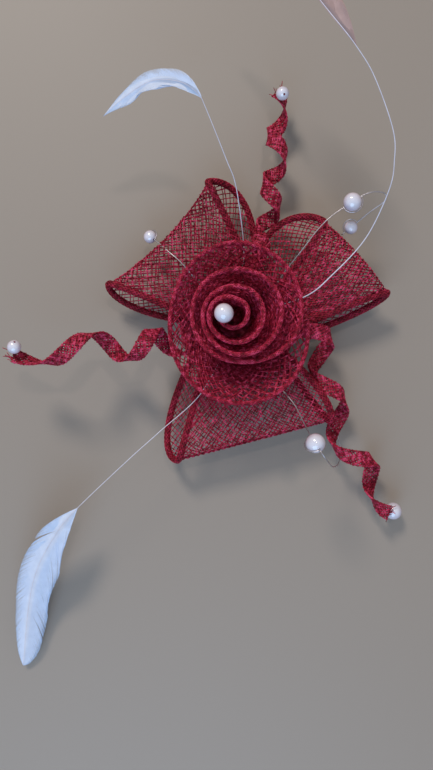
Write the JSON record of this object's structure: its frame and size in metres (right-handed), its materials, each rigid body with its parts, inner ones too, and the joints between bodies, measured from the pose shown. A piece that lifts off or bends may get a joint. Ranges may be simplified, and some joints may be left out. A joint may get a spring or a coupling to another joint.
{
  "type": "fascinator headpiece",
  "caption": "Sinamay rose on a small clip base, with looped leaves, curled ribbons, pearls on springy wires and slender stripped feathers.",
  "frame": {"origin": "on the flat underside of the hair clip, on the axis of the rose", "axes": "+Z out of the flower, away from the head; +Y along the longest spread, towards the two upper leaves"},
  "size_m": [0.1819, 0.3032, 0.0713],
  "materials": {
    "sinamay": "open woven stiffened abaca, crimson",
    "sinamay_roll": "rolled and pressed sinamay edge, dark crimson",
    "felt": "wool felt, matt",
    "pearl": "pearlescent bead",
    "silver_wire": "bright silver-plated craft wire",
    "clip_steel": "nickel-plated spring steel",
    "feather": "white goose feather barbs",
    "quill": "stripped feather quill, satin",
    "thread": "polyester sewing thread"
  },
  "bodies": {
    "headpiece": {"leaf_upper_left": "sinamay", "leaf_upper_right": "sinamay", "leaf_lower": "sinamay", "rose_strip": "sinamay", "curl_upper": "sinamay", "curl_left": "sinamay", "curl_lower_right": "sinamay", "base_disc": "sinamay", "hem_roll_upper_left": "sinamay_roll", "hem_roll_upper_right": "sinamay_roll", "hem_roll_lower": "sinamay_roll", "base_binding": "sinamay_roll", "felt_backing": "felt", "pearl_centre": "pearl", "pearl_curl_upper": "pearl", "pearl_curl_left": "pearl", "pearl_curl_lower_right": "pearl", "pearl_spray_upper_large": "pearl", "pearl_spray_upper_small": "pearl", "pearl_spray_left": "pearl", "pearl_spray_lower": "pearl", "spray_wire_upper": "silver_wire", "spray_wire_left": "silver_wire", "spray_wire_lower": "silver_wire", "pearl_centre_stem": "silver_wire", "clip_upper_arm": "clip_steel", "clip_pin": "clip_steel", "clip_spring": "clip_steel", "feather_vane_upper_left": "feather", "feather_vane_right": "feather", "feather_vane_lower_left": "feather", "feather_quill_upper_left": "quill", "feather_quill_right": "quill", "feather_quill_lower_left": "quill", "pearl_threads": "thread"},
    "clip_jaw": {"clip_lower_arm": "clip_steel"}
  },
  "joints": [
    {"name": "clip_hinge", "type": "hinge", "parent": "headpiece", "child": "clip_jaw", "pos_m": [0, -0.006, 0.0029], "axis": [-1, 0, 0], "range_deg": [0, 12], "stiffness_Nm_per_rad": 0.02, "springref_deg": -68.75, "deforming": ["clip_spring"]}
  ]
}
